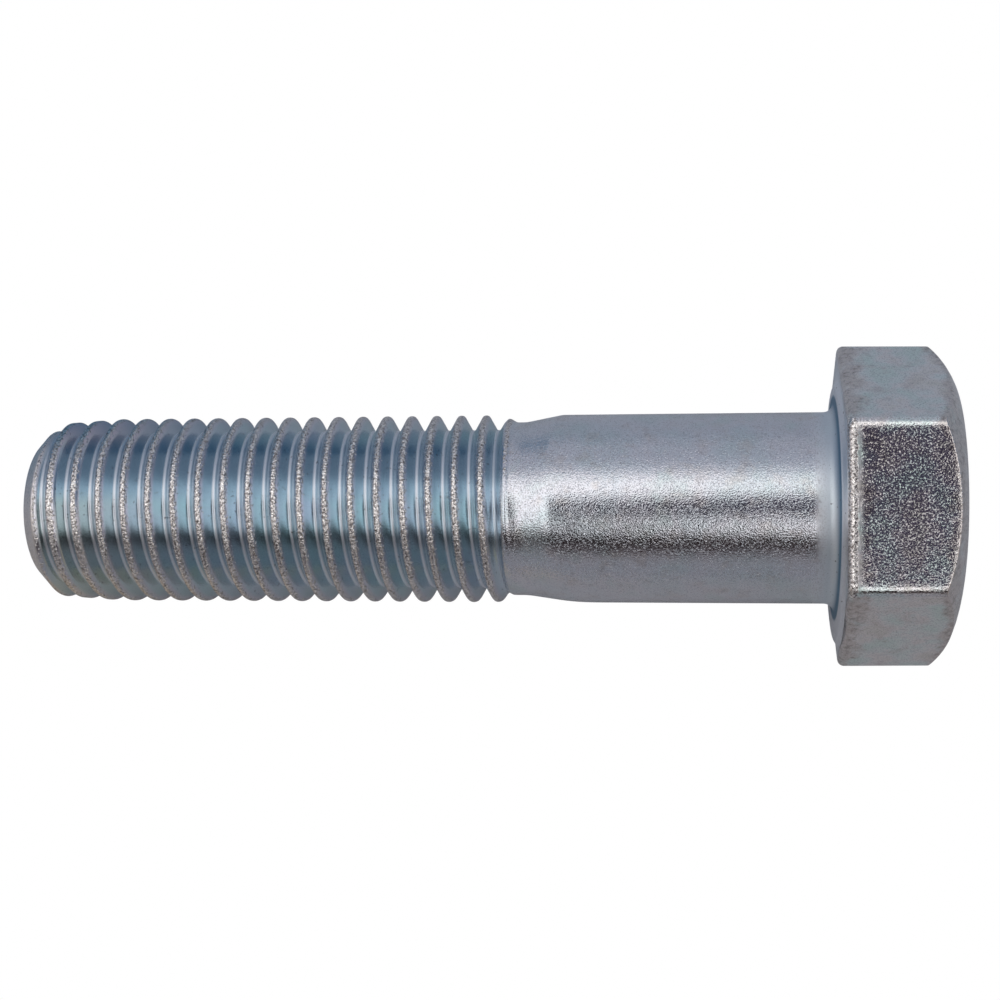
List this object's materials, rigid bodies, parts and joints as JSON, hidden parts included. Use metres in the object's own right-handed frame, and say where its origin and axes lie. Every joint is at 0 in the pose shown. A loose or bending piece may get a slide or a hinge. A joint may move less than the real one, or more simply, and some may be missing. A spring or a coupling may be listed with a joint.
{
  "type": "hex bolt",
  "caption": "Part-threaded hex bolt with a chamfered head, plain shank, necked transition and chamfered point.",
  "frame": {"origin": "centre of the flat top of the head", "axes": "+X along the bolt's axis and out of the top of the head, so the point is at -X; +Z out of one wrench flat; +Y completes the right-handed set and passes between two flats, through a corner of the head"},
  "size_m": [0.0917, 0.0314, 0.0274],
  "materials": {
    "zinc_plated_steel": "zinc electroplate with a clear blue passivate over forged and rolled steel, satin on the shank and head, glossier on the thread flanks"
  },
  "bodies": {
    "root": {"hex_bolt": "zinc_plated_steel"}
  },
  "joints": []
}
